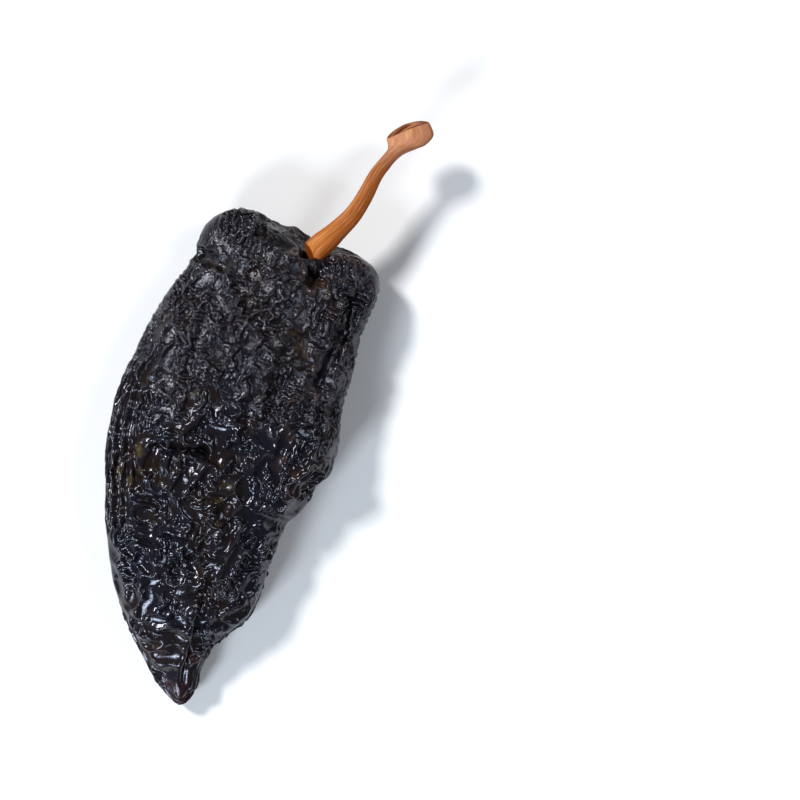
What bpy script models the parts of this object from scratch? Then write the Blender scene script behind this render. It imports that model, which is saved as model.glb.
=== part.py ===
"""Dried chilli pepper of the broad ancho kind: a flattened, folded pod and its dry stem.

The chilli lies on its back. +Y runs from the tip to the stem, +Z is up from the surface that it
rests on, and +X is to the right as seen from above. The pod is modelled with its tip at Y = 0 and
its seam line at X = 0; an empty then carries both pieces so that the origin is under the middle.
"""
import math

import bmesh
import bpy
from mathutils import Vector

# ---- driving dimensions, in metres ----
POD_LENGTH = 0.110          # tip to the foot of the shoulders
POD_WIDTH = 0.0556
POD_THICKNESS = 0.0225
SHOULDER_RISE = 0.0098      # highest shoulder lobe above the foot of the shoulders
RECESS_RISE = 0.0022        # floor of the recess, and the seat, above the foot of the shoulders
TIP_RADIUS = 0.0030         # length over which the tip rounds off
REST_PRESS = 0.0011         # how far the underside is pressed flat where it lies

STEM_LENGTH = 0.0385        # along Y, from the seat to the end of the curled head
STEM_REACH = 0.0195         # along X, from the seat to the end of the curled head
STEM_ARCH = 0.0030          # height of the stem's arch over its seat
STEM_BASE_RADIUS = 0.0028
STEM_NECK_RADIUS = 0.0017
STEM_HEAD_RADIUS = 0.0029
SEAT_HEIGHT = 0.0132        # middle of the seat above the resting surface
SEAT_DEPTH = 0.0024         # how far the stem's foot sits inside the pod
SEAT_CLEARANCE = 0.0003
SCOOP_LENGTH = 0.0072       # hollow in the curled head
SCOOP_WIDTH = 0.0018
SCOOP_DEPTH = 0.0026
SCOOP_SHIFT = 0.60          # how far the hollow is off the head's middle, as a share of its radius

# ---- mesh fineness ----
POD_AROUND = 48
POD_RINGS = 50
SIDE_SHARE = 0.80           # share of the rings that lie on the side; the rest close the shoulders
TIP_SPACING = 0.35          # spacing of the rings at the tip, as a share of their mean spacing
STEM_STEPS = 6              # curve steps between two points of the stem
STEM_ROUNDING = 4
SEAT_SEGMENTS = 20
SCOOP_START = 6             # point of the stem's way where the hollow begins

# ---- outline of the pod ----
# Station along the pod as a share of its length, then the left side, the right side, the crown
# and the underside; the sides are shares of the width, the heights shares of the thickness.
OUTLINE = (
    (0.000, -0.070, 0.034, 0.26, 0.17),
    (0.055, -0.200, 0.036, 0.42, 0.10),
    (0.130, -0.333, 0.064, 0.60, 0.04),
    (0.225, -0.455, 0.184, 0.76, 0.01),
    (0.360, -0.556, 0.208, 0.88, 0.00),
    (0.450, -0.605, 0.226, 0.93, 0.00),
    (0.485, -0.618, 0.280, 0.95, 0.00),
    (0.540, -0.641, 0.296, 0.98, 0.00),
    (0.600, -0.650, 0.350, 1.00, 0.00),
    (0.720, -0.624, 0.312, 1.00, 0.00),
    (0.825, -0.586, 0.312, 0.97, 0.01),
    (0.900, -0.538, 0.298, 0.94, 0.03),
    (0.957, -0.487, 0.320, 0.90, 0.06),
    (1.000, -0.506, 0.325, 0.84, 0.10),
)

# Rise of the shoulders round the pod: angle in degrees from +X towards +Z, share of the rise.
SHOULDERS = (
    (0, 0.62),
    (45, 0.50),
    (85, 0.16),
    (120, 0.60),
    (160, 0.92),
    (205, 1.00),
    (270, 0.78),
    (320, 0.72),
)
RIM_SHARE = 0.62            # where the rim of the shoulders lies between the recess and the side

# Folds of the crown: start and end as (share of the width, share of the length), then half the
# width and the height in metres. A height below zero is a furrow or a hollow.
CROWN_FOLDS = (
    ((0.245, 0.985), (0.195, 0.760), 0.0016, -0.0022),     # furrow beside the right edge
    ((0.275, 0.600), (0.290, 0.565), 0.0046, 0.0022),      # knob low on the right
    ((-0.190, 0.590), (-0.060, 0.560), 0.0022, -0.0020),   # dark crease left of the middle
    ((-0.330, 0.400), (-0.330, 0.350), 0.0038, -0.0018),   # hollow by the left edge
    ((-0.210, 0.330), (-0.150, 0.300), 0.0034, -0.0016),   # hollow above the tip
    ((0.080, 0.830), (0.000, 0.640), 0.0030, -0.0014),     # long trough of the middle
    ((-0.100, 0.960), (-0.020, 0.780), 0.0040, 0.0012),    # swelling below the left shoulder
    ((-0.120, 0.500), (0.080, 0.270), 0.0042, 0.0014),     # long swell down to the tip
    ((-0.040, 0.200), (-0.010, 0.020), 0.0022, 0.0010),    # keel of the tip
)

# Folds of the underside, in the same terms.
UNDERSIDE_FOLDS = (
    ((-0.470, 0.760), (-0.420, 0.420), 0.0030, -0.0016),
    ((0.230, 0.860), (0.180, 0.480), 0.0028, -0.0016),
)

# Way of the stem from its seat: shares of its reach, of its length and of its arch, then the
# share of the way from the neck's radius to the base's radius (first part) or the head's.
STEM_SHAFT = (
    (0.000, 0.000, 0.00, 1.00),
    (0.205, 0.205, 0.35, 0.76),
    (0.345, 0.332, 0.62, 0.44),
    (0.420, 0.462, 0.84, 0.26),
    (0.485, 0.610, 1.00, 0.06),
    (0.555, 0.700, 1.00, 0.00),
)
STEM_HEAD = (
    (0.630, 0.812, 0.92, 0.62),
    (0.780, 0.910, 0.72, 1.00),
    (0.930, 0.975, 0.50, 0.76),
    (1.000, 1.000, 0.40, 0.05),
)


def clear_scene():
    """Start from an empty scene."""
    for thing in list(bpy.data.objects):
        bpy.data.objects.remove(thing, do_unlink=True)


def new_collection(name):
    """A collection in the scene."""
    group = bpy.data.collections.new(name)
    bpy.context.scene.collection.children.link(group)
    return group


def principled(name, colour, roughness):
    """A plain material with the piece's own colour."""
    material = bpy.data.materials.new(name)
    material.use_nodes = True
    shader = material.node_tree.nodes["Principled BSDF"]
    shader.inputs["Base Color"].default_value = (*colour, 1.0)
    shader.inputs["Roughness"].default_value = roughness
    shader.inputs["Metallic"].default_value = 0.0
    return material


def pod_skin():
    """Near-black, half-glossy dried skin."""
    return principled("pod_skin", (0.022, 0.018, 0.020), 0.35)


def stem_wood():
    """Dry orange-brown stalk."""
    return principled("stem_wood", (0.60, 0.25, 0.09), 0.60)


def between(low, high, share):
    """The value at a share of the way from low to high."""
    return low + (high - low) * share


def through(rows, where, column):
    """Smooth value of a table's column at a station, its first column being the station."""
    last = len(rows) - 1
    index = 0
    while index < last - 1 and where > rows[index + 1][0]:
        index += 1
    before = rows[max(index - 1, 0)]
    start = rows[index]
    end = rows[index + 1]
    after = rows[min(index + 2, last)]
    span = end[0] - start[0]
    share = (where - start[0]) / span
    slope_in = (end[column] - before[column]) / (end[0] - before[0]) * span
    slope_out = (after[column] - start[column]) / (after[0] - start[0]) * span
    return (
        start[column] * (2 * share**3 - 3 * share**2 + 1)
        + slope_in * (share**3 - 2 * share**2 + share)
        + end[column] * (3 * share**2 - 2 * share**3)
        + slope_out * (share**3 - share**2)
    )


def section(station):
    """Left, right, crown and underside of the pod at a share of its length, in metres."""
    left = through(OUTLINE, station, 1) * POD_WIDTH
    right = through(OUTLINE, station, 2) * POD_WIDTH
    crown = through(OUTLINE, station, 3) * POD_THICKNESS
    under = through(OUTLINE, station, 4) * POD_THICKNESS - REST_PRESS
    return left, right, crown, under


def on_section(station, angle, roundness=1.0):
    """Point on the pod's side at a station and at an angle from +X towards +Z."""
    left, right, crown, under = section(station)
    middle = Vector(((left + right) / 2, 0, (crown + under) / 2))
    across = (right - left) / 2 * roundness
    up = (crown - under) / 2 * roundness
    return middle + Vector((across * math.cos(angle), station * POD_LENGTH, up * math.sin(angle)))


def shoulder_rise(angle):
    """Height of the shoulders over their foot at an angle round the pod."""
    first = SHOULDERS[0]
    around = SHOULDERS + ((first[0] + 360, first[1]), (SHOULDERS[1][0] + 360, SHOULDERS[1][1]))
    return through(around, math.degrees(angle) % 360, 1) * SHOULDER_RISE


def seat_point():
    """Middle of the recess's floor, where the stem is seated."""
    return Vector((0, POD_LENGTH + RECESS_RISE, SEAT_HEIGHT))


def on_shoulder(share, angle):
    """Point on the closed end: share 0 at the foot of the shoulders, 1 at the recess's middle."""
    inward = 1 - share
    rise = shoulder_rise(angle)
    foot = on_section(1.0, angle)
    seat = seat_point()
    if inward > RIM_SHARE:
        out = (inward - RIM_SHARE) / (1 - RIM_SHARE)
        height = POD_LENGTH + rise * math.sqrt(max(0.0, 1 - out * out))
    else:
        fall = inward / RIM_SHARE
        fall = fall * fall * (3 - 2 * fall)
        height = between(seat.y, POD_LENGTH + rise, fall)
    return Vector((between(seat.x, foot.x, inward), height, between(seat.z, foot.z, inward)))


def fold_depth(x, y, folds):
    """Sum of the folds at a point in plan, each a soft ridge or furrow along its line."""
    total = 0.0
    for start, end, half_width, height in folds:
        tail = Vector((start[0] * POD_WIDTH, start[1] * POD_LENGTH))
        line = Vector((end[0] * POD_WIDTH, end[1] * POD_LENGTH)) - tail
        way = Vector((x, y)) - tail
        share = min(1.0, max(0.0, way.dot(line) / line.length_squared))
        distance = (way - line * share).length
        total += height * math.exp(-((distance / half_width) ** 2))
    return total


def pod_vertex(polar, angle):
    """Place of one vertex of the pod: polar 0 at the tip, 1 at the middle of the recess."""
    if polar <= SIDE_SHARE:
        share = polar / SIDE_SHARE
        station = min(1.0, share * between(TIP_SPACING, 1.0, share))
        along = min(1.0, station * POD_LENGTH / TIP_RADIUS)
        point = on_section(station, angle, math.sqrt(along * (2 - along)))
    else:
        share = (polar - SIDE_SHARE) / (1 - SIDE_SHARE)
        turn = share * math.pi / 2
        point = on_shoulder(between(1 - math.cos(turn), share, share), angle)
    facing = math.sin(angle)
    if facing > 0:
        point.z += fold_depth(point.x, point.y, CROWN_FOLDS) * math.sqrt(facing)
    else:
        point.z -= fold_depth(point.x, point.y, UNDERSIDE_FOLDS) * math.sqrt(-facing)
    point.z = max(point.z, 0.0)
    return point


def make_pod(group, carrier):
    """The flattened, folded pod, pressed flat where it lies."""
    shape = bmesh.new()
    bmesh.ops.create_uvsphere(shape, u_segments=POD_AROUND, v_segments=POD_RINGS, radius=1)
    for vertex in shape.verts:
        polar = 1 - math.acos(max(-1.0, min(1.0, vertex.co.z))) / math.pi
        angle = math.atan2(vertex.co.y, vertex.co.x)
        vertex.co = pod_vertex(polar, angle)
    bmesh.ops.recalc_face_normals(shape, faces=shape.faces)
    mesh = bpy.data.meshes.new("pod")
    shape.to_mesh(mesh)
    shape.free()
    mesh.shade_smooth()
    mesh.materials.append(pod_skin())
    pod = bpy.data.objects.new("pod", mesh)
    pod.parent = carrier
    group.objects.link(pod)
    return pod


def stem_direction():
    """Direction in which the stem leaves its seat."""
    reach, length, arch, _ = STEM_SHAFT[1]
    return Vector((reach * STEM_REACH, length * STEM_LENGTH, arch * STEM_ARCH)).normalized()


def stem_way():
    """Points of the stem's centre line with their radii, from its foot to the head's end."""
    seat = seat_point()
    points = [(seat - stem_direction() * SEAT_DEPTH, STEM_BASE_RADIUS)]
    for rows, thickest in ((STEM_SHAFT, STEM_BASE_RADIUS), (STEM_HEAD, STEM_HEAD_RADIUS)):
        for reach, length, arch, girth in rows:
            way = Vector((reach * STEM_REACH, length * STEM_LENGTH, arch * STEM_ARCH))
            points.append((seat + way, between(STEM_NECK_RADIUS, thickest, girth)))
    return points


def add_tube(name, points, group):
    """A tapering tube through points with their radii, as a mesh with its ends closed."""
    curve = bpy.data.curves.new(name + "_way", "CURVE")
    curve.dimensions = "3D"
    curve.resolution_u = STEM_STEPS
    curve.bevel_depth = 1.0
    curve.bevel_resolution = STEM_ROUNDING
    curve.use_fill_caps = True
    spline = curve.splines.new("BEZIER")
    spline.bezier_points.add(len(points) - 1)
    for bezier, (place, radius) in zip(spline.bezier_points, points):
        bezier.co = place
        bezier.radius = radius
        bezier.handle_left_type = "AUTO"
        bezier.handle_right_type = "AUTO"
    guide = bpy.data.objects.new(name + "_guide", curve)
    group.objects.link(guide)
    graph = bpy.context.evaluated_depsgraph_get()
    mesh = bpy.data.meshes.new_from_object(guide.evaluated_get(graph))
    bpy.data.objects.remove(guide, do_unlink=True)
    shape = bmesh.new()
    shape.from_mesh(mesh)
    bmesh.ops.remove_doubles(shape, verts=shape.verts, dist=0.000001)
    shape.to_mesh(mesh)
    shape.free()
    tube = bpy.data.objects.new(name, mesh)
    group.objects.link(tube)
    return tube


def add_cutter(name, mesh_maker, group, carrier):
    """A closed shape that only cuts."""
    mesh = bpy.data.meshes.new(name)
    shape = bmesh.new()
    mesh_maker(shape)
    shape.to_mesh(mesh)
    shape.free()
    cutter = bpy.data.objects.new(name, mesh)
    cutter.hide_render = True
    cutter.display_type = "WIRE"
    cutter.parent = carrier
    group.objects.link(cutter)
    return cutter


def cut(piece, cutter):
    """Take the cutter's shape out of a piece."""
    boolean = piece.modifiers.new("cut_" + cutter.name, "BOOLEAN")
    boolean.operation = "DIFFERENCE"
    boolean.solver = "EXACT"
    boolean.object = cutter


def cut_seat(pod, cutters, carrier):
    """The stem's seat in the pod: a socket round its foot, with clearance all over."""
    radius = STEM_BASE_RADIUS + SEAT_CLEARANCE
    length = SEAT_DEPTH + SEAT_CLEARANCE + SHOULDER_RISE

    def socket(shape):
        bmesh.ops.create_cone(shape, cap_ends=True, segments=SEAT_SEGMENTS,
                              radius1=radius, radius2=radius, depth=length)

    cutter = add_cutter("seat_cutter", socket, cutters, carrier)
    direction = stem_direction()
    foot = seat_point() - direction * (SEAT_DEPTH + SEAT_CLEARANCE)
    cutter.rotation_mode = "QUATERNION"
    cutter.rotation_quaternion = direction.to_track_quat("Z", "Y")
    cutter.location = foot + direction * length / 2
    cut(pod, cutter)


def cut_scoop(stem, cutters, carrier):
    """The long hollow along the upper left edge of the curled head."""
    points = [place for place, _ in stem_way()]
    start = points[SCOOP_START]
    end = points[SCOOP_START + 2]
    along = (end - start).normalized()
    sideways = Vector((-along.y, along.x, 0)).normalized()

    def hollow(shape):
        bmesh.ops.create_uvsphere(shape, u_segments=16, v_segments=10, radius=0.5)
        size = Vector((SCOOP_LENGTH, SCOOP_WIDTH, SCOOP_DEPTH))
        bmesh.ops.scale(shape, vec=size, verts=shape.verts)

    cutter = add_cutter("scoop_cutter", hollow, cutters, carrier)
    cutter.rotation_euler.z = math.atan2(along.y, along.x)
    up = Vector((0, 0, 1))
    offset = STEM_HEAD_RADIUS * SCOOP_SHIFT
    cutter.location = (start + end) / 2 + sideways * offset + up * offset
    cut(stem, cutter)


def make_stem(group, cutters, carrier):
    """The dry stem: flared foot, bent shaft and curled head with its hollow."""
    stem = add_tube("stem", stem_way(), group)
    stem.parent = carrier
    stem.data.shade_smooth()
    stem.data.materials.append(stem_wood())
    cut_scoop(stem, cutters, carrier)
    return stem


def centre_under(carrier, pieces):
    """Move the carrier so that the origin is under the middle of all the pieces."""
    bpy.context.view_layer.update()
    graph = bpy.context.evaluated_depsgraph_get()
    corners = []
    for piece in pieces:
        solid = piece.evaluated_get(graph)
        corners += [solid.matrix_world @ vertex.co for vertex in solid.data.vertices]
    low = Vector([min(corner[axis] for corner in corners) for axis in range(3)])
    high = Vector([max(corner[axis] for corner in corners) for axis in range(3)])
    carrier.location = Vector((-(low.x + high.x) / 2, -(low.y + high.y) / 2, -low.z))


def main():
    """Build the chilli."""
    clear_scene()
    chilli = new_collection("dried_chilli_pepper")
    cutters = new_collection("cutters")
    carrier = bpy.data.objects.new("chilli", None)
    chilli.objects.link(carrier)
    pod = make_pod(chilli, carrier)
    cut_seat(pod, cutters, carrier)
    stem = make_stem(chilli, cutters, carrier)
    centre_under(carrier, (pod, stem))


main()
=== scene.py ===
"""The looks of a broad dried chilli: wrinkled black pod skin and a dry, fibrous, hooked stem.

The pod's skin starts on the pod's solid. It is laid out as a net of small cells and then let grow
a little larger than the flesh that it is tied to, so that it buckles into the folds and ridges of
drying skin: wide folds first, fine ridges on top of them. Both pieces are shaped in millimetres
and written to their meshes in metres.
"""
import math

import bmesh
import bpy
import numpy as np
from mathutils import Matrix, Vector


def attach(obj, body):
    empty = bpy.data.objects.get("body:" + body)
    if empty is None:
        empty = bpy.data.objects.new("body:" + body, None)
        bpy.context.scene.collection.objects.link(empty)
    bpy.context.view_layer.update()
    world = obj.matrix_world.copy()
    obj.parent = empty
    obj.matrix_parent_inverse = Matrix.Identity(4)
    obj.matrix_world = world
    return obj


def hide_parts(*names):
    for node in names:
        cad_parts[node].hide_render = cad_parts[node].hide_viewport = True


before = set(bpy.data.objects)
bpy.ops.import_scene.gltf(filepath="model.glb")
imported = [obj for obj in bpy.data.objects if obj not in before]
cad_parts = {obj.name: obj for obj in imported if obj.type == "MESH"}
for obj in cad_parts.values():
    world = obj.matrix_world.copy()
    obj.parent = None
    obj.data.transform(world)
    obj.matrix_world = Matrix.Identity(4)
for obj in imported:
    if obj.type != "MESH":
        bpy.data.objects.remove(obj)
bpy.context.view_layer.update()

MM = 0.001

# ---- pod skin, in mm ----
TIP_END = -76.06            # where the pod's tip lies along Y
POD_LENGTH = 119.8
POD_LEFT = -28.35
POD_WIDTH = 55.6
FOLD_CELL = 0.70            # cell of the net that takes the wide folds
RIDGE_CELL = 0.36           # cell of the net that takes the fine ridges
UNDERSIDE_SHARE = 0.50      # the resting side is drawn in to this share while cells are laid
SKIN_TRIANGLES = 190000
CREST_SHARPNESS = 1.1       # how much the finest forms are raised at the end
TIP_DRAWN_OUT = (0.45, -1.50)   # puts back what evening out the skin takes from its tip
FLOOR_GAP = 0.02            # the skin stays this much above the floor

# ---- how the skin grows ----
WIDE_GROWTH = 0.10          # growth over the flesh, as a share of its length, for wide folds
FINE_GROWTH = 0.155         # and for fine ridges
WIDE_STIFFNESS = 0.12       # resistance to bending, which sets how far apart folds are
FINE_STIFFNESS = 0.085
THREAD_FORCE = 0.8
SPEED_KEPT = 0.9            # share of a knot's speed that is left after each round

# ---- single folds of the upper side, in mm ----
FOLDS = (
    # starts at       ends at           half    height
    # x      y        x      y          width
    (-18.9,  29.6,    -12.0, 28.6,      1.8,    -1.3),      # crease under the left shoulder
    (5.3,    39.5,    9.0,   36.6,      2.2,    -0.5),      # pocket of the stem's foot
    (9.5,    36.5,    9.7,   30.2,      1.3,    -1.0),      # crack below the foot
    (9.6,    35.3,    10.8,  32.8,      2.3,    -2.0),      # dent before the foot
    (-6.2,   44.0,    -5.4,  38.5,      1.5,    -1.5),      # notch of the upper rim
    (1.0,    41.0,    3.5,   37.0,      2.4,    0.9),       # lip left of the foot
    (14.5,   37.0,    20.0,  34.0,      2.6,    0.9),       # lip right of the foot
    (19.1,   29.2,    20.7,  20.3,      1.1,    -0.5),      # furrow by the right edge
    (20.7,   20.3,    18.6,  7.8,       1.4,    -0.6),
    (-3.3,   21.3,    7.4,   12.6,      1.7,    -0.6),      # slanting crease of the middle
    (-14.4,  -17.9,   -3.4,  -15.9,     1.3,    -1.5),      # cross crease on the left
    (-3.4,   -15.9,   1.0,   -17.0,     1.0,    -0.8),
    (2.9,    -2.2,    3.6,   -5.0,      1.4,    -1.1),      # pits
    (-1.2,   -38.8,   0.8,   -42.0,     2.0,    -1.0),
    (-13.7,  -34.9,   -11.1, -37.9,     2.2,    -0.9),
    (3.6,    -26.0,   6.9,   -30.1,     1.8,    -0.9),
    (24.2,   -10.8,   25.2,  -12.4,     2.4,    1.1),       # knob by the right edge
    (22.8,   -19.0,   21.6,  -23.7,     1.5,    -1.0),
    (6.8,    -51.0,   6.8,   -71.0,     1.1,    -1.0),      # crease down to the tip
    (9.4,    -52.0,   8.6,   -71.0,     1.3,    0.5),
    (-25.9,  -9.0,    -25.5, -15.6,     0.7,    0.50),      # long ridges of the left rim
    (-25.5,  -15.6,   -23.1, -26.3,     0.7,    0.60),
    (-23.1,  -26.3,   -19.9, -38.0,     0.7,    0.55),
    (-23.7,  -6.0,    -23.3, -15.0,     0.7,    0.45),
    (-23.3,  -15.0,   -21.0, -25.7,     0.7,    0.55),
    (-21.0,  -25.7,   -17.8, -37.4,     0.7,    0.50),
)

# ---- stem, in mm: hoops from the foot to the curled head, with their sides seen from above ----
HOOPS_FROM = (7.79, -76.06)     # the hoops' sides are measured from here
STEM_COLUMNS = 72
STEM_ROWS = 130
STEM_HOOPS = (
    # left side        right side       height  half   top leans  middle
    #                                   of it   thick  along      bulges
    (-2.30, 115.3,     2.00, 110.2,     14.8,   2.35,  0.75,      0.00),
    (-1.75, 116.4,     2.95, 112.7,     14.8,   2.55,  0.60,      0.00),
    (-0.40, 118.4,     4.45, 115.3,     14.8,   2.60,  0.30,      0.00),
    (1.85, 121.3,      6.10, 118.8,     15.0,   2.45,  0.10,      0.00),
    (4.60, 125.7,      8.70, 124.1,     15.4,   2.15,  0.00,      0.00),
    (6.35, 130.5,      10.05, 129.4,    15.7,   1.90,  0.00,      0.00),
    (7.60, 135.9,      10.95, 134.9,    16.2,   1.70,  0.00,      0.00),
    (8.80, 139.0,      12.00, 138.2,    16.3,   1.55,  0.00,      0.00),
    (9.80, 141.2,      13.10, 140.7,    16.2,   1.60,  0.00,      0.00),
    (10.30, 142.5,     14.60, 142.7,    16.1,   1.75,  0.00,      0.00),
    (10.15, 143.4,     16.90, 144.6,    15.9,   2.00,  -0.20,     0.10),
    (9.85, 144.1,      18.90, 146.4,    15.7,   2.15,  -0.50,     0.20),
    (9.45, 144.7,      19.95, 149.2,    15.5,   2.10,  -0.80,     0.50),
    (9.40, 145.2,      18.05, 151.8,    15.4,   1.80,  -1.00,     0.85),
)
FIBRE_ROUND = 7             # how fast the fibres' pattern changes round the stem and along it
FIBRE_ALONG = 9
RIB_ALONG = 5
HEAD_SLOT_SHIFT = 0.33      # the head's slot is drawn towards its left end by this share
HEAD_SLOT_TURN = math.radians(14)

# ---- colours ----
GLOSSY_BLACK = (0.0054, 0.0054, 0.0104, 1)
GLOSSY_BROWN = (0.0094, 0.0066, 0.0076, 1)
DULL_BLACK = (0.0026, 0.0024, 0.0046, 1)
DULL_BROWN = (0.0052, 0.0034, 0.0038, 1)
FOLD_BROWN = (0.0110, 0.0054, 0.0030, 1)
# paler crests: partly dust, partly painted highlight
CREST_DUST_AND_HIGHLIGHT = (0.0140, 0.0080, 0.0090, 1)
RUST = (0.0420, 0.0210, 0.0130, 1)
OLIVE = (0.0620, 0.0420, 0.0100, 1)
# the thin wall's own deep red, with painted light shining through it
DEEP_RED_AND_GLOW = (0.0450, 0.0035, 0.0045, 1)
SKIN_SHEEN = (0.83, 0.86, 1.0, 1)
FOOT_ORANGE = (0.54, 0.175, 0.036, 1)
SHAFT_ORANGE = (0.40, 0.118, 0.028, 1)
NECK_TAN = (0.48, 0.205, 0.110, 1)
HEAD_TAN = (0.56, 0.250, 0.135, 1)
DARK_STREAK = (0.32, 0.080, 0.014, 1)
PALE_STREAK = (0.74, 0.360, 0.150, 1)
BARK_CRACK = (0.20, 0.060, 0.015, 1)
# painted shade for the stem's right side and underside
STEM_PAINTED_SHADE = (0.26, 0.058, 0.006, 1)
CUT_FOOT = (0.38, 0.080, 0.008, 1)
# painted shade inside the head's slot
HEAD_SLOT_SHADE = (0.15, 0.034, 0.005, 1)
FLOOR_WHITE = (0.92, 0.92, 0.92, 1)

# ---- camera and floor, in metres ----
VIEW_FROM = (0.0381, 0.00954, 0.551)
VIEW_LEAN = math.radians(16.5)
LENS = 100.0                # in mm, as is the sensor's width
SENSOR = 36.0
FLOOR_HALF = 3.0


def smoothstep(value, low, high):
    """0 below low, 1 above high and a soft step between them."""
    share = np.clip((value - low) / (high - low), 0.0, 1.0)
    return share * share * (3 - 2 * share)


def waves(places, size, seed, count=24):
    """Smooth random field with features of about the given size, mostly within -2 to 2."""
    draw = np.random.default_rng(seed)
    ways = draw.normal(size=(count, 3))
    ways /= np.linalg.norm(ways, axis=1)[:, None]
    ways *= 2 * np.pi / size * draw.uniform(0.6, 1.4, (count, 1))
    starts = draw.uniform(0, 2 * np.pi, count)
    return np.sin(places @ ways.T + starts).sum(1) / math.sqrt(count / 2)


# ---------------------------------------------------------------- meshes as arrays


def places_of(mesh):
    """Places of a mesh's vertices."""
    flat = np.empty(len(mesh.vertices) * 3, "f4")
    mesh.vertices.foreach_get("co", flat)
    return flat.reshape(-1, 3).astype("f8")


def move_to(mesh, places):
    """Move a mesh's vertices."""
    mesh.vertices.foreach_set("co", places.astype("f4").ravel())
    mesh.update()


def normals_of(mesh):
    """Outward directions at a mesh's vertices."""
    flat = np.empty(len(mesh.vertices) * 3, "f4")
    mesh.vertices.foreach_get("normal", flat)
    return flat.reshape(-1, 3).astype("f8")


def modified(mesh, kind, **settings):
    """The mesh after one modifier."""
    carrier = bpy.data.objects.new("carrier", mesh)
    bpy.context.scene.collection.objects.link(carrier)
    modifier = carrier.modifiers.new("change", kind)
    for name, value in settings.items():
        setattr(modifier, name, value)
    graph = bpy.context.evaluated_depsgraph_get()
    changed = bpy.data.meshes.new_from_object(carrier.evaluated_get(graph))
    bpy.data.objects.remove(carrier, do_unlink=True)
    return changed


def add_values(mesh, name, values):
    """Store one number, or one vector, for each vertex, for the materials."""
    kind = "FLOAT" if values.ndim == 1 else "FLOAT_VECTOR"
    layer = mesh.attributes.new(name, kind, "POINT")
    layer.data.foreach_set("value" if values.ndim == 1 else "vector", values.astype("f4").ravel())


class Net:
    """Knots of a skin and the threads between them: the cells' edges and their diagonals."""

    def __init__(self, mesh):
        self.count = len(mesh.vertices)
        edges = np.empty(len(mesh.edges) * 2, "i4")
        mesh.edges.foreach_get("vertices", edges)
        edges = edges.reshape(-1, 2)
        corners = np.empty(len(mesh.loops), "i4")
        mesh.loops.foreach_get("vertex_index", corners)
        starts = np.empty(len(mesh.polygons), "i4")
        mesh.polygons.foreach_get("loop_start", starts)
        sizes = np.empty(len(mesh.polygons), "i4")
        mesh.polygons.foreach_get("loop_total", sizes)
        four = starts[sizes == 4]
        diagonals = np.vstack([corners[[four, four + 2]].T, corners[[four + 1, four + 3]].T])
        threads = np.vstack([edges, diagonals])
        self.start, self.end = threads[:, 0], threads[:, 1]
        self.strength = np.repeat([2.0, 1.0], [len(edges), len(diagonals)])
        self.closeness = np.repeat([4.0, 1.0], [len(edges), len(diagonals)])
        self.total_strength = self.at_ends(self.strength)
        self.total_closeness = self.at_ends(self.closeness)

    def at_ends(self, values):
        """Sum of the threads' values at each knot."""
        return np.bincount(self.start, values, self.count) + np.bincount(self.end, values, self.count)

    def pull(self, values):
        """Sum at each knot of what its threads pull, towards their other ends."""
        if values.ndim == 1:
            from_start = np.bincount(self.start, values, self.count)
            return from_start - np.bincount(self.end, values, self.count)
        return np.stack([self.pull(values[:, axis]) for axis in range(values.shape[1])], 1)

    def sag(self, values):
        """From each knot to the mean of the knots around it."""
        if values.ndim == 1:
            change = (values[self.end] - values[self.start]) * self.closeness
            return self.pull(change) / self.total_closeness
        change = (values[self.end] - values[self.start]) * self.closeness[:, None]
        return self.pull(change) / self.total_closeness[:, None]

    def soften(self, values, rounds, share=0.7):
        """Even out places or values."""
        for _ in range(rounds):
            values = values + share * self.sag(values)
        return values


class Skin:
    """Skin tied to the flesh below it, which buckles as it grows larger than that flesh."""

    def __init__(self, net, flesh, normals, growth, way, bias, seed, unevenness):
        bumps = net.soften(np.random.default_rng(seed).normal(size=net.count), 3)
        self.net, self.flesh, self.normals = net, flesh, normals
        self.places = flesh + normals * (bumps / bumps.std() * unevenness)[:, None]
        self.speed = np.zeros_like(flesh)
        self.rest_bend = net.sag(flesh)
        thread = flesh[net.end] - flesh[net.start]
        self.rest = np.linalg.norm(thread, axis=1)
        aligned = (np.einsum("ij,ij->i", thread, way[net.start]) / np.maximum(self.rest, 1e-9)) ** 2
        amount = (growth[net.start] + growth[net.end]) / 2
        lean = (bias[net.start] + bias[net.end]) / 2
        self.growth = np.maximum(amount * (1 + lean * (2 * aligned - 1)), 0)

    def grow(self, start, end, press_in, press_out, stiffness, rounds, cling):
        """Grow from one share of the whole growth to another, and settle."""
        net = self.net
        for step in range(rounds):
            share = start + (end - start) * (step + 1) / rounds
            rest = self.rest * (1 + self.growth * share)
            thread = self.places[net.end] - self.places[net.start]
            length = np.sqrt(np.einsum("ij,ij->i", thread, thread))
            thread *= ((1 - rest / np.maximum(length, 1e-9)) * net.strength)[:, None]
            force = net.pull(thread) * (THREAD_FORCE / net.total_strength)[:, None]
            force -= stiffness[:, None] * net.sag(net.sag(self.places) - self.rest_bend)
            offset = self.places - self.flesh
            lift = np.einsum("ij,ij->i", offset, self.normals)
            slide = offset - self.normals * lift[:, None]
            force -= self.normals * (np.where(lift > 0, press_out, press_in) * lift)[:, None]
            force -= slide * cling
            self.speed = self.speed * SPEED_KEPT + force
            self.places = self.places + self.speed

    def lift(self):
        """Height of the skin over its flesh."""
        return np.einsum("ij,ij->i", self.places - self.flesh, self.normals)


# ---------------------------------------------------------------- pod


def pod_flesh():
    """The pod's solid in mm, with its loose triangles joined."""
    solid = bmesh.new()
    solid.from_mesh(bpy.data.objects["pod"].data)
    bmesh.ops.remove_doubles(solid, verts=solid.verts, dist=0.000001)
    bmesh.ops.scale(solid, vec=(1 / MM,) * 3, verts=solid.verts)
    flesh = bpy.data.meshes.new("flesh")
    solid.to_mesh(flesh)
    solid.free()
    return flesh


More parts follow.
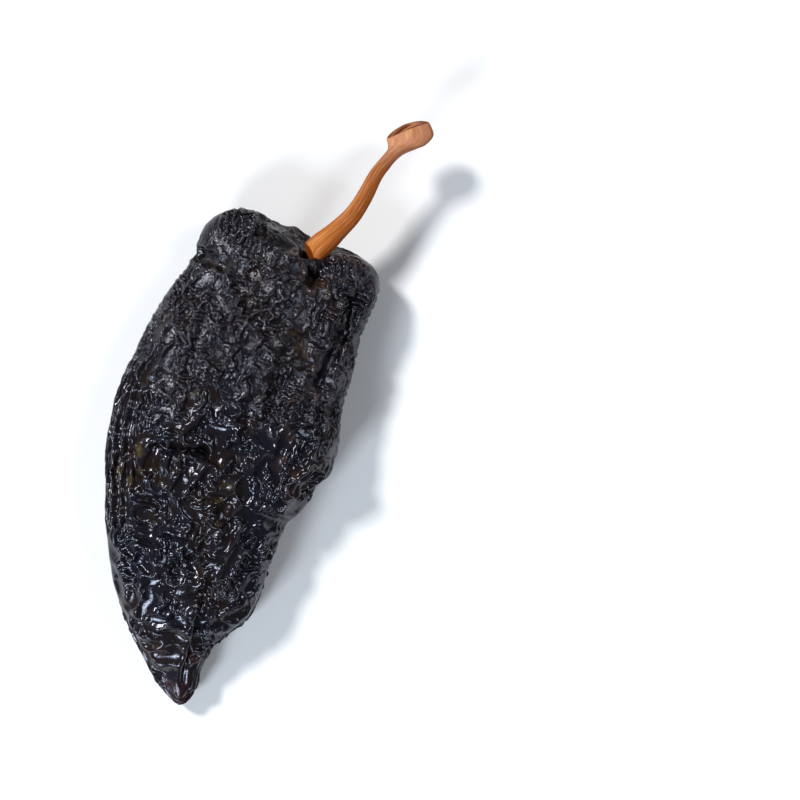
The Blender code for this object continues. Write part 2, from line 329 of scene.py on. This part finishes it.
def thin_underside(mesh, back):
    """Draw the resting side in, so that it gets fewer cells, or let it back out."""
    places = places_of(mesh)
    factor = UNDERSIDE_SHARE + (1 - UNDERSIDE_SHARE) * smoothstep(places[:, 2], 2.5, 9.0)
    places[:, :2] *= (1 / factor if back else factor)[:, None]
    move_to(mesh, places)


def laid_net(mesh, cell, rounds):
    """A new even net of cells over a mesh, softened."""
    thin_underside(mesh, False)
    laid = modified(mesh, "REMESH", mode="VOXEL", voxel_size=cell)
    thin_underside(laid, True)
    net = Net(laid)
    move_to(laid, net.soften(places_of(laid), rounds))
    return laid, net


def growth_way(places, normals, turn):
    """Direction of the most growth: round the pod, turned by an angle towards its length."""
    along = np.zeros_like(places)
    along[:, 1] = 1.0
    around = np.cross(normals, along)
    around /= np.maximum(np.linalg.norm(around, axis=1), 0.05)[:, None]
    along = np.cross(around, normals)
    return around * np.cos(turn)[:, None] + along * np.sin(turn)[:, None]


def pod_zones(places):
    """Where a place is on the pod: shares along it from its tip, and across it from its left."""
    along = (places[:, 1] - TIP_END) / POD_LENGTH
    across = (places[:, 0] - POD_LEFT) / POD_WIDTH
    return along, across


def press_folds(places, normals):
    """The upper side with its single folds pressed in or raised."""
    rise = np.zeros(len(places))
    for start_x, start_y, end_x, end_y, half_width, height in FOLDS:
        line = np.array([end_x - start_x, end_y - start_y])
        offset = places[:, :2] - (start_x, start_y)
        share = np.clip(offset @ line / (line @ line), 0, 1)
        distance = np.linalg.norm(offset - share[:, None] * line, axis=1)
        rise += height * np.exp(-((distance / half_width) ** 2))
    return places + normals * (rise * smoothstep(normals[:, 2], -0.1, 0.35))[:, None]


def wide_folds(flesh):
    """The pod with the wide folds of its skin."""
    mesh, net = laid_net(flesh, FOLD_CELL, 6)
    places, normals = places_of(mesh), normals_of(mesh)
    along, _ = pod_zones(places)
    edge = 1 - smoothstep(np.abs(normals[:, 2]), 0.05, 0.55)
    growth = WIDE_GROWTH * (1 - 0.20 * smoothstep(along, 0.45, 0.70)) * (1 - 0.8 * edge)
    growth *= 1 - 0.60 * smoothstep(along, 0.88, 0.96)
    skin = Skin(
        net, places, normals, growth,
        growth_way(places, normals, 0.9 * waves(places, 30, 11)), np.full(net.count, 0.45), 3, 0.10,
    )
    stiffness = np.full(net.count, WIDE_STIFFNESS)
    skin.grow(0.0, 1.0, 0.0006, 0.0006, stiffness, 100, 0.002)
    skin.grow(1.0, 1.0, 0.003, 0.0003, stiffness, 30, 0.002)
    settled = skin.places - normals * net.soften(skin.lift(), 150)[:, None]
    move_to(mesh, net.soften(settled, 1, 0.3))
    return mesh


def fine_ridges(folded):
    """The folded pod with the fine ridges of its skin."""
    mesh, net = laid_net(folded, RIDGE_CELL, 8)
    move_to(mesh, press_folds(places_of(mesh), normals_of(mesh)))
    places, normals = places_of(mesh), normals_of(mesh)
    along, across = pod_zones(places)
    upper = smoothstep(along, 0.48, 0.70)
    left = (1 - smoothstep(across, 0.10, 0.26)) * (1 - smoothstep(along, 0.60, 0.74))
    left *= smoothstep(along, 0.16, 0.30)
    near_tip = (1 - smoothstep(along, 0.16, 0.30)) * (1 - smoothstep(across, 0.45, 0.65))
    edge = 1 - smoothstep(np.abs(normals[:, 2]), 0.05, 0.55)
    turn = 1.3 * waves(places, 17, 21) * (1 - left) * (1 - 0.3 * near_tip) + math.pi / 2 * near_tip
    growth = FINE_GROWTH + 0.03 * upper + 0.045 * waves(places, 13, 22)
    right = smoothstep(across, 0.55, 0.75)
    held = (0.75 - 0.30 * np.maximum(upper, right)) * edge * (1 - left)
    growth = np.clip(growth, 0.05, 0.30) * (1 - held)
    growth *= 1 - 0.95 * near_tip * (1 - smoothstep(np.abs(normals[:, 2]), 0.45, 0.85))
    bias = 0.50 * (1 - 0.75 * upper) + 0.45 * left
    skin = Skin(net, places, normals, growth, growth_way(places, normals, turn), bias, 5, 0.05)
    press = (0.0040 * (1 - upper) + 0.0065 * upper) * np.exp(0.6 * waves(places, 9, 23))
    stiffness = np.full(net.count, FINE_STIFFNESS)
    skin.grow(0.0, 0.6, press, press, stiffness, 90, 0.004)
    skin.grow(0.6, 1.0, press * 4, press * 0.3, stiffness, 50, 0.004)
    calm = edge * np.maximum(0.65 * (1 - upper) * (1 - left) * (1 - 0.6 * right), 0.85 * near_tip)
    excess = net.soften(skin.lift(), 120) * (1 - calm) + skin.lift() * calm
    places = skin.places - normals * excess[:, None]
    places = places + CREST_SHARPNESS * (places - net.soften(places, 3))
    places[:, :2] += (1 - smoothstep(along, 0.0, 0.07))[:, None] * TIP_DRAWN_OUT
    places[:, 2] = np.maximum(places[:, 2], FLOOR_GAP)
    move_to(mesh, places)
    return mesh


def pod_shape():
    """The finished skin, in metres, with what its material reads."""
    mesh = fine_ridges(wide_folds(pod_flesh()))
    triangles = sum(len(face.vertices) - 2 for face in mesh.polygons)
    mesh = modified(mesh, "DECIMATE", ratio=min(1.0, SKIN_TRIANGLES / triangles))
    net = Net(mesh)
    places, normals = places_of(mesh), normals_of(mesh)
    for name, rounds, size in (("ridge", 10, 0.16), ("fold", 160, 0.9)):
        height = np.einsum("ij,ij->i", places - net.soften(places, rounds), normals)
        add_values(mesh, name, np.clip(0.5 + 0.5 * height / size, 0, 1))
    along, across = pod_zones(places)
    add_values(mesh, "upper", smoothstep(along + 0.05 * waves(places, 20, 31), 0.52, 0.70))
    stem_side = smoothstep(along, 0.62, 0.95) * smoothstep(across, 0.35, 0.75)
    right_side = 0.55 * smoothstep(along, 0.38, 0.52) * smoothstep(across, 0.50, 0.80)
    rust = np.maximum(stem_side, right_side) * (0.55 + 0.45 * waves(places, 9, 32))
    add_values(mesh, "rust", np.clip(rust, 0, 1))
    # Left rim and tip: the skin's deep red, with painted light shining through the thin wall.
    left = (1 - smoothstep(across, 0.02, 0.22)) * (1 - smoothstep(along, 0.30, 0.50))
    tip = 1 - smoothstep(along, 0.03, 0.16)
    red_and_glow = np.maximum(left, tip) * (0.7 + 0.4 * waves(places, 8, 33))
    add_values(mesh, "red_and_glow", np.clip(red_and_glow, 0, 1))
    move_to(mesh, places * MM)
    mesh.shade_smooth()
    return mesh


# ---------------------------------------------------------------- stem


def between_hoops(hoops, share):
    """Smooth values between the hoops at a share of the way along them."""
    place = share * (len(hoops) - 1)
    index = min(int(place), len(hoops) - 2)
    part = place - index
    last = len(hoops) - 1
    before, first, second, after = (hoops[min(max(index + i, 0), last)] for i in (-1, 0, 1, 2))
    square, cube = part**2, part**3
    return (
        (-part + 2 * square - cube) * before
        + (2 - 5 * square + 3 * cube) * first
        + (part + 4 * square - 3 * cube) * second
        + (cube - square) * after
    ) / 2


def stem_point(hoops, turn, share):
    """Place of a point on the stem's bark, and the numbers that its fibres follow."""
    left_x, left_y, right_x, right_y, height, thick, lean, bulge = between_hoops(hoops, share)
    left = Vector((left_x + HOOPS_FROM[0], left_y + HOOPS_FROM[1], height))
    right = Vector((right_x + HOOPS_FROM[0], right_y + HOOPS_FROM[1], height))
    half = (right - left) / 2
    onward = Vector((0, 0, 1)).cross(half).normalized()
    cos, sin = math.cos(turn), math.sin(turn)
    fibre = (cos * FIBRE_ROUND, sin * FIBRE_ROUND, share * FIBRE_ALONG)
    fade = 1 - 0.8 * float(smoothstep(share, 0.45, 0.70))
    lines = np.array([(cos * FIBRE_ROUND, sin * FIBRE_ROUND, share * RIB_ALONG)])
    ribs = 0.09 * float(waves(lines, 5.5, 41)[0]) + 0.045 * float(waves(lines, 2.2, 42)[0])
    ribs += 0.035 * float(waves(np.array([fibre]), 1.6, 43)[0])
    side = cos * (1 + ribs * fade / half.length)
    top = sin * (1 + ribs * fade / thick)
    point = (left + right) / 2 + half * side + Vector((0, 0, thick * top))
    return point + onward * (top * lean + (1 - cos * cos) * bulge), fibre


def push_in(shape, face, steps, mark):
    """Inset a face and push it in, step by step."""
    for inset, depth in steps:
        bmesh.ops.inset_region(shape, faces=[face], thickness=inset, depth=-depth, use_even_offset=True)
        for vert in face.verts:
            vert[mark] = 1.0


def place_slot(shape, face, mark):
    """Shorten the curled head's inner face towards its left end, and turn it."""
    middle = face.calc_center_median()
    reach = max((vert.co for vert in face.verts), key=lambda place: place.x) - middle
    for vert in face.verts:
        share = 1 + (vert.co - middle).dot(reach) / reach.length_squared
        vert.co -= reach * HEAD_SLOT_SHIFT * share
        vert[mark] = 0.0
    turned = Matrix.Rotation(HEAD_SLOT_TURN, 3, "Z")
    bmesh.ops.rotate(shape, verts=face.verts, cent=face.calc_center_median(), matrix=turned)


def sink(shape, face, steps, mark):
    """Draw a face in and down, step by step: the share of its size that it keeps, and the depth."""
    for share, depth in steps:
        bmesh.ops.inset_region(shape, faces=[face], thickness=0.0, depth=0.0)
        middle, down = face.calc_center_median(), face.normal * depth
        for vert in face.verts:
            vert.co = middle + (vert.co - middle) * share - down
            # each step raises the mark, so the painted shade deepens into the slot
            vert[mark] = min(vert[mark] + 0.5, 1.0)


def stem_shape():
    """The stem: a sheet rolled round its way, closed at the foot and hollow at the curled head."""
    shape = bmesh.new()
    fibre_layer = shape.verts.layers.float_vector.new("fibre")
    along_layer = shape.verts.layers.float.new("along")
    hollow_layer = shape.verts.layers.float.new("hollow")
    hoops = np.array(STEM_HOOPS)
    bmesh.ops.create_grid(shape, x_segments=STEM_COLUMNS, y_segments=STEM_ROWS, size=1.0)
    for vert in shape.verts:
        share = (vert.co.y + 1) / 2
        vert.co, vert[fibre_layer] = stem_point(hoops, (vert.co.x + 1) * math.pi, share)
        vert[along_layer] = share
    bmesh.ops.remove_doubles(shape, verts=shape.verts, dist=0.001)
    rims = [edge for edge in shape.edges if edge.is_boundary]
    filled = bmesh.ops.holes_fill(shape, edges=rims, sides=0)
    bmesh.ops.recalc_face_normals(shape, faces=shape.faces)
    ends = sorted(filled["faces"], key=lambda face: face.verts[0][along_layer])
    push_in(shape, ends[0], ((0.20, -0.03), (0.35, 0.03), (0.70, 0.06)), hollow_layer)
    push_in(shape, ends[-1], ((0.24, -0.10), (0.40, 0.05)), hollow_layer)
    place_slot(shape, ends[-1], hollow_layer)
    sink(shape, ends[-1], ((0.95, 0.30), (0.85, 0.45), (0.70, 0.30)), hollow_layer)
    bmesh.ops.scale(shape, vec=(MM,) * 3, verts=shape.verts)
    mesh = bpy.data.meshes.new("chilli_stem")
    shape.to_mesh(mesh)
    shape.free()
    mesh.shade_smooth()
    return mesh


# ---------------------------------------------------------------- materials


def add_node(tree, kind, links=None, **settings):
    """A shader node with its settings, and what its inputs hold or are linked to."""
    node = tree.nodes.new(kind)
    for name, value in settings.items():
        setattr(node, name, value)
    for name, value in (links or {}).items():
        if isinstance(value, bpy.types.NodeSocket):
            tree.links.new(value, node.inputs[name])
        else:
            node.inputs[name].default_value = value
    return node


def worked_out(tree, operation, first, second, third=0.0):
    """Result of a Math node."""
    node = add_node(tree, "ShaderNodeMath", {0: first, 1: second, 2: third}, operation=operation)
    return node.outputs[0]


def times(tree, first, second):
    """One value times another."""
    return worked_out(tree, "MULTIPLY", first, second)


def mixed(tree, share, first, second):
    """One colour over another."""
    node = add_node(tree, "ShaderNodeMix", {0: share, 6: first, 7: second}, data_type="RGBA")
    return node.outputs[2]


def between(tree, value, low, high, to_low=0.0, to_high=1.0):
    """A value brought from one range to another, and kept inside it."""
    node = add_node(
        tree, "ShaderNodeMapRange",
        {"Value": value, "From Min": low, "From Max": high, "To Min": to_low, "To Max": to_high},
        interpolation_type="SMOOTHSTEP",
    )
    return node.outputs["Result"]


def stored(tree, name, vector=False):
    """Values stored on the piece's mesh."""
    node = add_node(tree, "ShaderNodeAttribute", attribute_name=name)
    return node.outputs["Vector" if vector else "Fac"]


def grain_group():
    """Grain of a dried surface: soft patches, fine pores and creases of a given size."""
    tree = bpy.data.node_groups.new("dried_grain", "ShaderNodeTree")
    tree.interface.new_socket("Place", in_out="INPUT", socket_type="NodeSocketVector")
    tree.interface.new_socket("Patch Scale", in_out="INPUT", socket_type="NodeSocketFloat")
    tree.interface.new_socket("Crease Scale", in_out="INPUT", socket_type="NodeSocketFloat")
    for name in ("Patches", "Creases", "Pores"):
        tree.interface.new_socket(name, in_out="OUTPUT", socket_type="NodeSocketFloat")
    inside = add_node(tree, "NodeGroupInput")
    place = inside.outputs["Place"]
    patches = add_node(tree, "ShaderNodeTexNoise", {
        "Vector": place, "Scale": inside.outputs["Patch Scale"], "Detail": 3.0, "Roughness": 0.6})
    creases = add_node(tree, "ShaderNodeTexNoise", {
        "Vector": place, "Scale": inside.outputs["Crease Scale"], "Detail": 2.0, "Roughness": 0.55,
        "Distortion": 0.6}, noise_type="RIDGED_MULTIFRACTAL", normalize=True)
    pores = add_node(tree, "ShaderNodeTexNoise", {
        "Vector": place, "Scale": times(tree, inside.outputs["Crease Scale"], 3.1),
        "Detail": 2.0, "Roughness": 0.6})
    add_node(tree, "NodeGroupOutput", {
        "Patches": patches.outputs["Fac"],
        "Creases": creases.outputs["Fac"],
        "Pores": pores.outputs["Fac"],
    })
    return tree


def with_grain(tree, group, place, patch_scale, crease_scale):
    """The grain group placed in a material with its own sizes."""
    node = tree.nodes.new("ShaderNodeGroup")
    node.node_tree = group
    tree.links.new(place, node.inputs["Place"])
    node.inputs["Patch Scale"].default_value = patch_scale
    node.inputs["Crease Scale"].default_value = crease_scale
    return node.outputs


def new_material(name):
    """A material with its tree and its shader."""
    material = bpy.data.materials.new(name)
    material.use_nodes = True
    tree = material.node_tree
    return material, tree, tree.nodes["Principled BSDF"]


def skin_material(grain):
    """Black, leathery skin: glossy with thin ridges towards the tip, duller towards the stem."""
    material, tree, shader = new_material("dried_skin")
    place = add_node(tree, "ShaderNodeTexCoord").outputs["Object"]
    small = with_grain(tree, grain, place, 240.0, 1300.0)
    large = with_grain(tree, grain, place, 75.0, 520.0)
    ridge, fold, upper = stored(tree, "ridge"), stored(tree, "fold"), stored(tree, "upper")

    patches = between(tree, large["Patches"], 0.40, 0.62)
    low = mixed(tree, patches, GLOSSY_BLACK, GLOSSY_BROWN)
    high = mixed(tree, patches, DULL_BLACK, DULL_BROWN)
    colour = mixed(tree, upper, low, high)
    deep = times(tree, between(tree, fold, 0.50, 0.25), between(tree, large["Patches"], 0.40, 0.60))
    colour = mixed(tree, deep, colour, FOLD_BROWN)
    # Crests of the upper part are made paler: partly dust, partly a painted highlight along the ridges.
    crest_dust_and_highlight = times(tree, between(tree, ridge, 0.52, 0.80), upper)
    colour = mixed(tree, times(tree, crest_dust_and_highlight, 0.6), colour, CREST_DUST_AND_HIGHLIGHT)
    rust = times(tree, stored(tree, "rust"), between(tree, small["Patches"], 0.42, 0.66))
    colour = mixed(tree, rust, colour, RUST)
    fleck = between(tree, small["Patches"], 0.52, 0.62)
    olive = times(tree, between(tree, large["Patches"], 0.60, 0.70), fleck)
    colour = mixed(tree, olive, colour, OLIVE)
    # Deep red of the thin wall at the left rim and tip, partly painted light shining through it.
    red_and_glow = times(tree, stored(tree, "red_and_glow"), between(tree, small["Patches"], 0.35, 0.70))
    colour = mixed(tree, times(tree, red_and_glow, 0.4), colour, DEEP_RED_AND_GLOW)
    tree.links.new(colour, shader.inputs["Base Color"])

    rough = worked_out(tree, "MULTIPLY_ADD", upper, 0.01, 0.15)
    dry = between(tree, small["Patches"], 0.35, 0.65)
    rough = worked_out(tree, "MULTIPLY_ADD", dry, 0.08, rough)
    tree.links.new(rough, shader.inputs["Roughness"])

    creases = times(tree, small["Creases"], 0.75)
    crinkle = worked_out(tree, "MULTIPLY_ADD", small["Pores"], 0.25, creases)
    crinkle = times(tree, crinkle, worked_out(tree, "MULTIPLY_ADD", upper, 0.70, 0.22))
    threads = between(tree, large["Creases"], 0.62, 0.92, 0.0, 0.9)
    threads = times(tree, threads, worked_out(tree, "MULTIPLY_ADD", upper, -0.6, 1.0))
    height = worked_out(tree, "ADD", crinkle, threads)
    bump = add_node(tree, "ShaderNodeBump", {"Height": height, "Strength": 0.9, "Distance": 0.00030})
    tree.links.new(bump.outputs["Normal"], shader.inputs["Normal"])
    shader.inputs["Specular Tint"].default_value = SKIN_SHEEN
    return material


def stem_material(grain):
    """Dry orange-brown stem: fibres along it, paler at the head, with painted shade on its right and
    below and inside the head's slot.
    """
    material, tree, shader = new_material("dry_stem")
    fibre, along, hollow = stored(tree, "fibre", True), stored(tree, "along"), stored(tree, "hollow")
    fine = with_grain(tree, grain, fibre, 0.75, 1.9)
    wide = with_grain(tree, grain, fibre, 0.26, 0.8)
    colour = mixed(tree, between(tree, along, 0.12, 0.45), FOOT_ORANGE, SHAFT_ORANGE)
    colour = mixed(tree, between(tree, along, 0.44, 0.60), colour, NECK_TAN)
    colour = mixed(tree, between(tree, along, 0.74, 0.90), colour, HEAD_TAN)
    colour = mixed(tree, between(tree, wide["Patches"], 0.42, 0.64, 0.0, 0.60), colour, DARK_STREAK)
    colour = mixed(tree, between(tree, fine["Patches"], 0.48, 0.66, 0.0, 0.60), colour, PALE_STREAK)
    colour = mixed(tree, between(tree, fine["Creases"], 0.58, 0.88, 0.0, 0.65), colour, BARK_CRACK)
    # Painted shade: the bark is darkened on the stem's right side and underside, less so towards the
    # neck and head.
    round_stem = add_node(tree, "ShaderNodeSeparateXYZ", {0: fibre})
    side = between(tree, round_stem.outputs["X"], -0.5, 5.8, 0.0, 0.92)
    under = between(tree, round_stem.outputs["Y"], 1.0, -6.0, 0.0, 0.85)
    painted_shade = worked_out(tree, "MAXIMUM", side, under)
    painted_shade = times(tree, painted_shade, between(tree, along, 0.50, 0.72, 1.0, 0.25))
    colour = mixed(tree, painted_shade, colour, STEM_PAINTED_SHADE)
    # The foot's cut end takes its own darker orange; inside the head's slot, painted shade that grows
    # darker as the slot sinks deeper.
    cut_end_and_slot_shade = mixed(tree, between(tree, along, 0.1, 0.2), CUT_FOOT, HEAD_SLOT_SHADE)
    colour = mixed(tree, hollow, colour, cut_end_and_slot_shade)
    tree.links.new(colour, shader.inputs["Base Color"])

    rough = between(tree, fine["Patches"], 0.3, 0.7, 0.48, 0.70)
    tree.links.new(rough, shader.inputs["Roughness"])
    height = worked_out(tree, "MULTIPLY_ADD", fine["Pores"], 0.4, fine["Patches"])
    bump = add_node(tree, "ShaderNodeBump", {"Height": height, "Strength": 0.9, "Distance": 0.00035})
    tree.links.new(bump.outputs["Normal"], shader.inputs["Normal"])
    shader.inputs["Specular IOR Level"].default_value = 0.10
    return material


def floor_material():
    """Pale, matt studio floor."""
    material, _, shader = new_material("studio_floor")
    shader.inputs["Base Color"].default_value = FLOOR_WHITE
    shader.inputs["Roughness"].default_value = 0.9
    shader.inputs["Specular IOR Level"].default_value = 0.1
    return material


# ---------------------------------------------------------------- scene


def add_piece(name, mesh, material, node):
    """Put a piece in the scene in place of its solid."""
    mesh.materials.clear()
    mesh.materials.append(material)
    piece = bpy.data.objects.new(name, mesh)
    bpy.context.scene.collection.objects.link(piece)
    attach(piece, "root")
    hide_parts(node)
    return piece


def add_floor():
    """A wide pale floor."""
    shape = bmesh.new()
    bmesh.ops.create_grid(shape, x_segments=1, y_segments=1, size=FLOOR_HALF)
    mesh = bpy.data.meshes.new("floor")
    shape.to_mesh(mesh)
    shape.free()
    mesh.materials.append(floor_material())
    floor = bpy.data.objects.new("floor", mesh)
    bpy.context.scene.collection.objects.link(floor)


def add_light(name, kind, place, power, colour):
    """A soft light that faces the chilli."""
    lamp = bpy.data.lights.new(name, kind)
    lamp.energy = power
    lamp.color = colour
    light = bpy.data.objects.new(name, lamp)
    light.location = place
    light.rotation_euler = (-Vector(place)).to_track_quat("-Z", "Y").to_euler()
    bpy.context.scene.collection.objects.link(light)
    return lamp


def add_studio():
    """Soft studio light and a cool surrounding, dim to the chilli but bright behind the floor."""
    key = add_light("key", "SUN", (-0.55, 0.25, 0.60), 2.8, (1.0, 0.99, 0.98))
    key.angle = math.radians(11)
    fill = add_light("fill", "AREA", (0.45, 0.30, 0.65), 1.8, (0.86, 0.92, 1.0))
    fill.size = 0.25
    front = add_light("front", "AREA", (-0.25, -0.60, 0.50), 4.0, (0.80, 0.89, 1.0))
    front.size = 0.22
    world = bpy.data.worlds.new("studio")
    world.use_nodes = True
    surround = world.node_tree.nodes["Background"]
    surround.inputs["Color"].default_value = (0.90, 0.94, 1.0, 1)
    seen = add_node(world.node_tree, "ShaderNodeLightPath").outputs["Is Camera Ray"]
    strength = between(world.node_tree, seen, 0.0, 1.0, 0.13, 0.90)
    world.node_tree.links.new(strength, surround.inputs["Strength"])
    bpy.context.scene.world = world
    bpy.context.scene.view_settings.view_transform = "Standard"


def add_camera():
    """Camera straight above, leaning so that the chilli leans to the right."""
    lens = bpy.data.cameras.new("camera")
    lens.lens = LENS
    lens.sensor_width = SENSOR
    camera = bpy.data.objects.new("camera", lens)
    camera.location = VIEW_FROM
    camera.rotation_euler = (0, 0, VIEW_LEAN)
    bpy.context.scene.collection.objects.link(camera)
    bpy.context.scene.camera = camera


grain = grain_group()
add_piece("chilli_skin", pod_shape(), skin_material(grain), "pod")
stem = add_piece("chilli_stem", stem_shape(), stem_material(grain), "stem")
smooth = stem.modifiers.new("smooth", "SUBSURF")
smooth.levels = smooth.render_levels = 1
add_floor()
add_studio()
add_camera()
